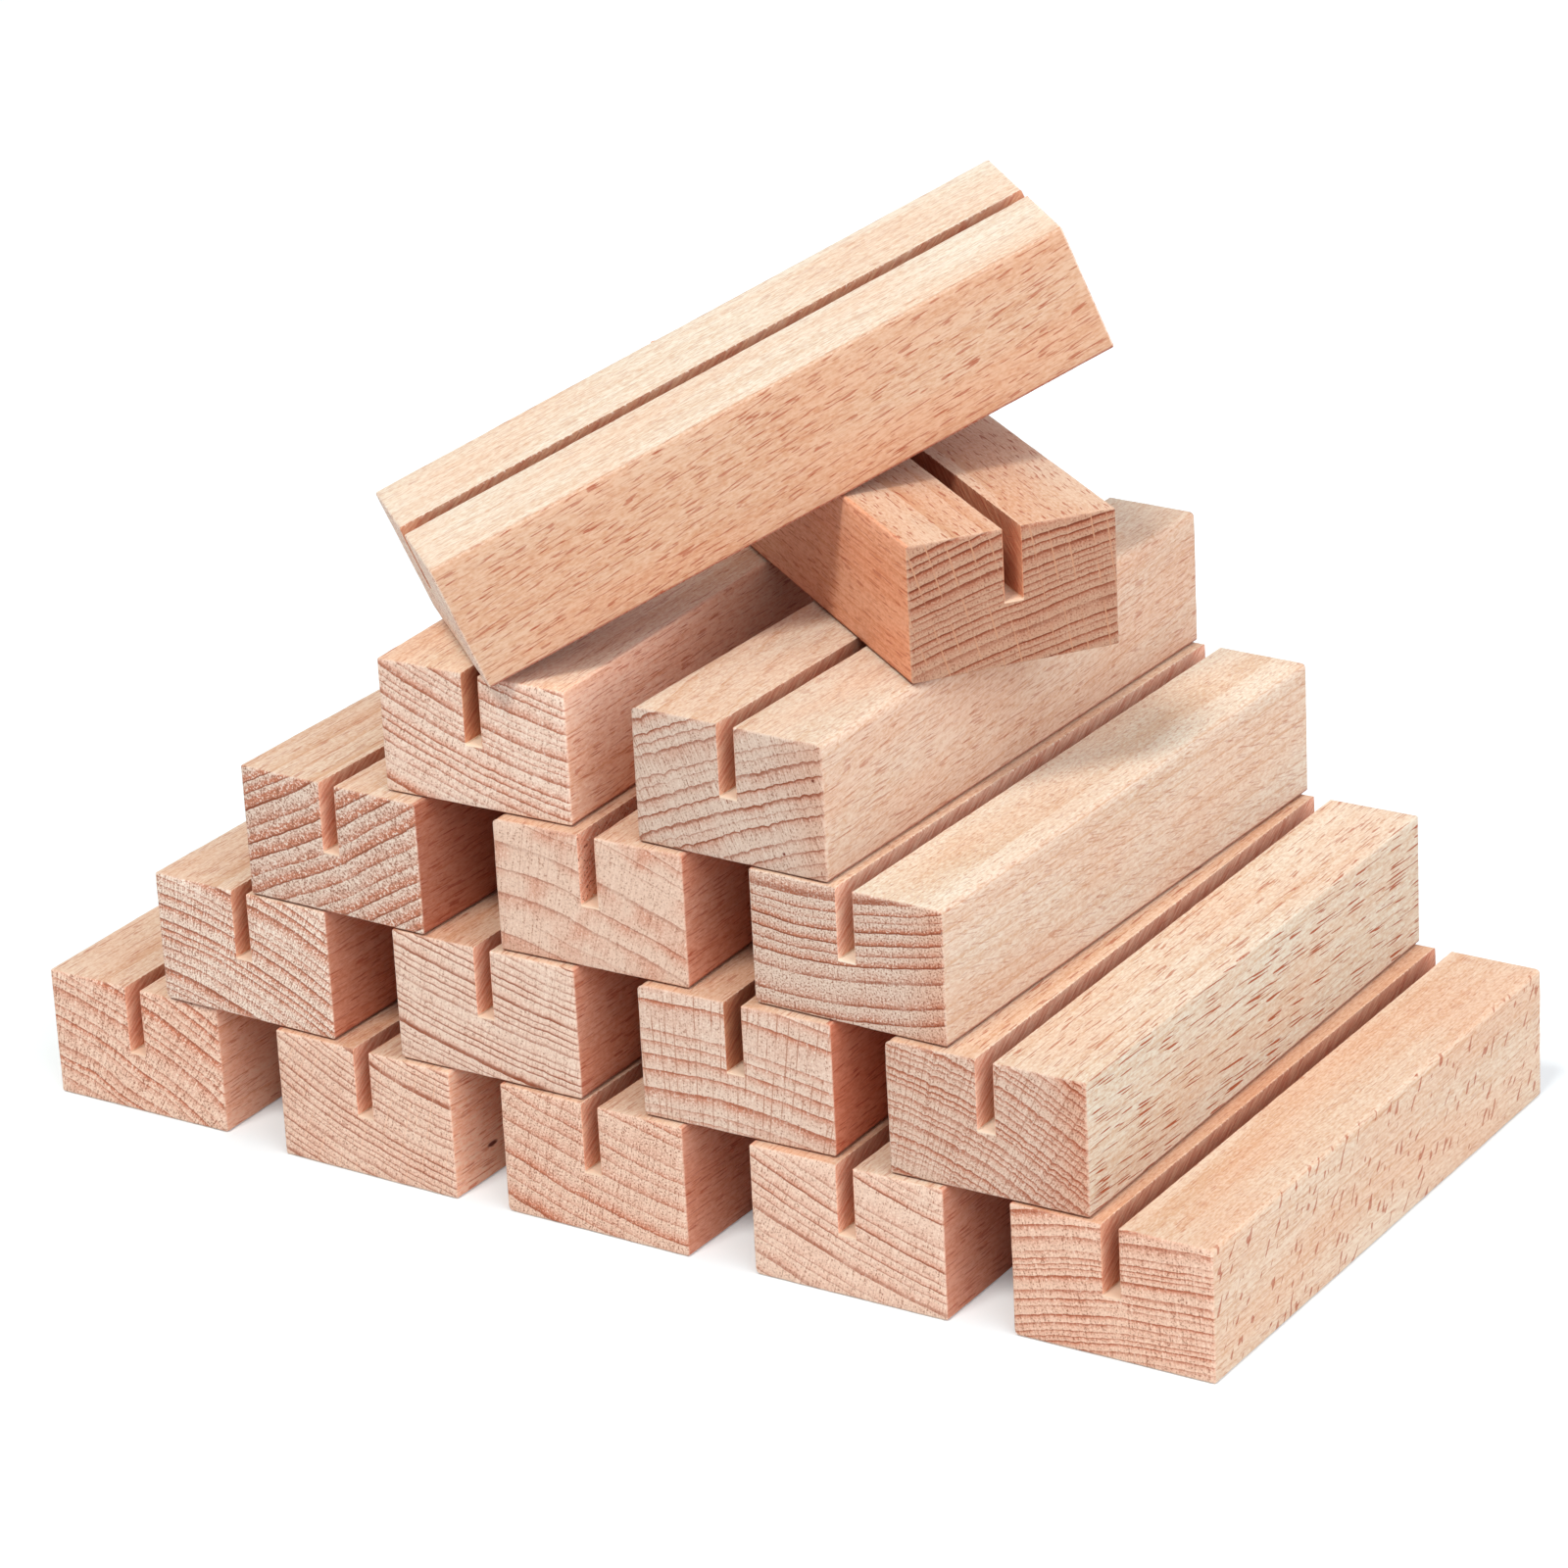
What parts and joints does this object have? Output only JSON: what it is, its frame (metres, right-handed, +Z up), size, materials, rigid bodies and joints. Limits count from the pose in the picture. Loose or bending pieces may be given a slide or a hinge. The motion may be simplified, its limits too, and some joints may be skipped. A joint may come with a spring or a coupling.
{
  "type": "photo block holder set",
  "caption": "Hand-stacked set of plain beech photo holders, each a rectangular block with a straight sawn slot along its top that grips a photo, card or thin board.",
  "frame": {"origin": "on the ground, under the middle of the bottom row's middle holder", "axes": "+Z up, +X along the rows from left to right, +Y along the holders from their front ends to their back ends"},
  "size_m": [0.1966, 0.1136, 0.1357],
  "materials": {
    "beech": "sawn and lightly sanded, unfinished"
  },
  "bodies": {
    "bottom_row_1": {"bottom_row_1": "beech"},
    "bottom_row_2": {"bottom_row_2": "beech"},
    "bottom_row_3": {"bottom_row_3": "beech"},
    "bottom_row_4": {"bottom_row_4": "beech"},
    "bottom_row_5": {"bottom_row_5": "beech"},
    "second_row_1": {"second_row_1": "beech"},
    "second_row_2": {"second_row_2": "beech"},
    "second_row_3": {"second_row_3": "beech"},
    "second_row_4": {"second_row_4": "beech"},
    "third_row_1": {"third_row_1": "beech"},
    "third_row_2": {"third_row_2": "beech"},
    "third_row_3": {"third_row_3": "beech"},
    "fourth_row_1": {"fourth_row_1": "beech"},
    "fourth_row_2": {"fourth_row_2": "beech"},
    "cross_holder": {"cross_holder": "beech"},
    "leaning_holder": {"leaning_holder": "beech"}
  },
  "joints": [
    {"name": "bottom_row_1_pull", "type": "slide", "parent": "bottom_row_3", "child": "bottom_row_1", "axis": [0.0087, -1, 0], "range_m": [0, 0.105]},
    {"name": "bottom_row_2_pull", "type": "slide", "parent": "bottom_row_3", "child": "bottom_row_2", "axis": [-0.0087, -1, 0], "range_m": [0, 0.105]},
    {"name": "bottom_row_4_pull", "type": "slide", "parent": "bottom_row_3", "child": "bottom_row_4", "axis": [0.0175, -0.9998, 0], "range_m": [0, 0.105]},
    {"name": "bottom_row_5_pull", "type": "slide", "parent": "bottom_row_3", "child": "bottom_row_5", "axis": [0.0175, -0.9998, 0], "range_m": [0, 0.105]},
    {"name": "second_row_1_pull", "type": "slide", "parent": "bottom_row_3", "child": "second_row_1", "axis": [-0.0087, -1, 0], "range_m": [0, 0.105]},
    {"name": "second_row_2_pull", "type": "slide", "parent": "bottom_row_3", "child": "second_row_2", "axis": [0.0175, -0.9998, 0], "range_m": [0, 0.105]},
    {"name": "second_row_3_pull", "type": "slide", "parent": "bottom_row_3", "child": "second_row_3", "axis": [0.0349, -0.9994, 0], "range_m": [0, 0.105]},
    {"name": "second_row_4_pull", "type": "slide", "parent": "bottom_row_3", "child": "second_row_4", "axis": [0.0262, -0.9997, 0], "range_m": [0, 0.105]},
    {"name": "third_row_1_pull", "type": "slide", "parent": "bottom_row_3", "child": "third_row_1", "axis": [-0.0175, -0.9998, 0], "range_m": [0, 0.105]},
    {"name": "third_row_2_pull", "type": "slide", "parent": "bottom_row_3", "child": "third_row_2", "axis": [0.0349, -0.9994, 0], "range_m": [0, 0.105]},
    {"name": "third_row_3_pull", "type": "slide", "parent": "bottom_row_3", "child": "third_row_3", "axis": [-0.0087, -1, 0], "range_m": [0, 0.105]},
    {"name": "fourth_row_1_pull", "type": "slide", "parent": "bottom_row_3", "child": "fourth_row_1", "axis": [0.0349, -0.9994, 0], "range_m": [0, 0.105]},
    {"name": "fourth_row_2_pull", "type": "slide", "parent": "bottom_row_3", "child": "fourth_row_2", "axis": [-0.0087, -1, 0], "range_m": [0, 0.105]},
    {"name": "cross_holder_pull", "type": "slide", "parent": "bottom_row_3", "child": "cross_holder", "axis": [0.8192, -0.5736, 0], "range_m": [0, 0.11]},
    {"name": "leaning_holder_lift", "type": "slide", "parent": "bottom_row_3", "child": "leaning_holder", "axis": [0, 0, 1], "range_m": [0, 0.06]}
  ]
}
